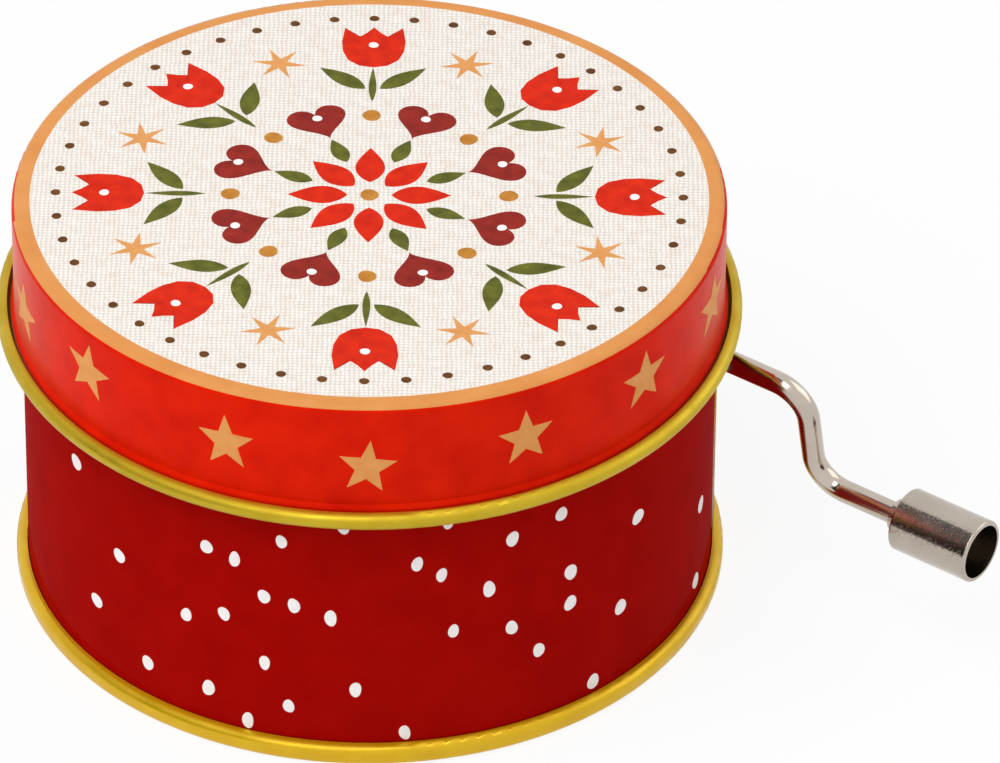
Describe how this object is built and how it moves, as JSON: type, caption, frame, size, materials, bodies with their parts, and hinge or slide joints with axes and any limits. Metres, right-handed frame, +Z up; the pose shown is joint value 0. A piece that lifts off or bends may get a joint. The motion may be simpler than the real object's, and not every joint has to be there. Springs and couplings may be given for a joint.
{
  "type": "cylinder music box",
  "caption": "Round printed tin with a lift-off lid and a bent wire hand crank that turns a pinned drum against a steel comb inside.",
  "frame": {"origin": "centre of the tin's base, on the plane that its base seam stands on", "axes": "+Z up along the tin's axis, +X along the crank shaft out of the tin, +Y along the drum's arbor"},
  "size_m": [0.0884, 0.068, 0.04],
  "materials": {
    "body_print": "dark red gloss print with small white dots",
    "base_gold": "gold lacquer",
    "lid_print": "bright red band with tan stars, linen print on top",
    "spacer_rubber": "matt black",
    "screw_steel": "zinc plated",
    "bed_cast": "grey zinc casting",
    "comb_steel": "ground steel",
    "slug_lead": "dull lead",
    "bracket_steel": "zinc plated",
    "bush_brass": "turned",
    "drum_brass": "satin",
    "wheel_plastic": "natural nylon",
    "arbor_steel": "ground",
    "crank_nickel": "bright nickel plate",
    "worm_brass": "turned",
    "knob_nickel": "satin nickel plate"
  },
  "bodies": {
    "tin": {"body_wall": "body_print", "bottom_panel": "base_gold", "movement_spacers": "spacer_rubber", "base_screws": "screw_steel", "bedplate": "bed_cast", "comb": "comb_steel", "comb_weights": "slug_lead", "comb_screws": "screw_steel", "front_bracket": "bracket_steel", "rear_bracket": "bracket_steel", "bracket_screws": "screw_steel", "inner_crank_bush": "bush_brass", "outer_crank_bush": "bush_brass"},
    "lid": {"lid_shell": "lid_print"},
    "drum": {"drum_shell": "drum_brass", "drum_wheel": "wheel_plastic", "drum_cap": "wheel_plastic", "drum_arbor": "arbor_steel"},
    "crank": {"crank_rod": "crank_nickel", "crank_worm": "worm_brass"},
    "knob": {"crank_knob": "knob_nickel"}
  },
  "joints": [
    {"name": "lid_lift", "type": "slide", "parent": "tin", "child": "lid", "axis": [0, 0, 1], "range_m": [0, 0.03]},
    {"name": "crank_turn", "type": "hinge", "parent": "tin", "child": "crank", "pos_m": [0.03, 0.018, 0.0231], "axis": [1, 0, 0], "continuous": true},
    {"name": "drum_turn", "type": "hinge", "parent": "tin", "child": "drum", "pos_m": [0.008, 0.0045, 0.0148], "axis": [0, 1, 0], "continuous": true},
    {"name": "knob_spin", "type": "hinge", "parent": "crank", "child": "knob", "pos_m": [0.05, 0.02021, 0.01222], "axis": [1, 0, 0], "continuous": true}
  ],
  "couplings": [
    {"joint": "drum_turn", "follows": "crank_turn", "ratio": -0.041667}
  ]
}
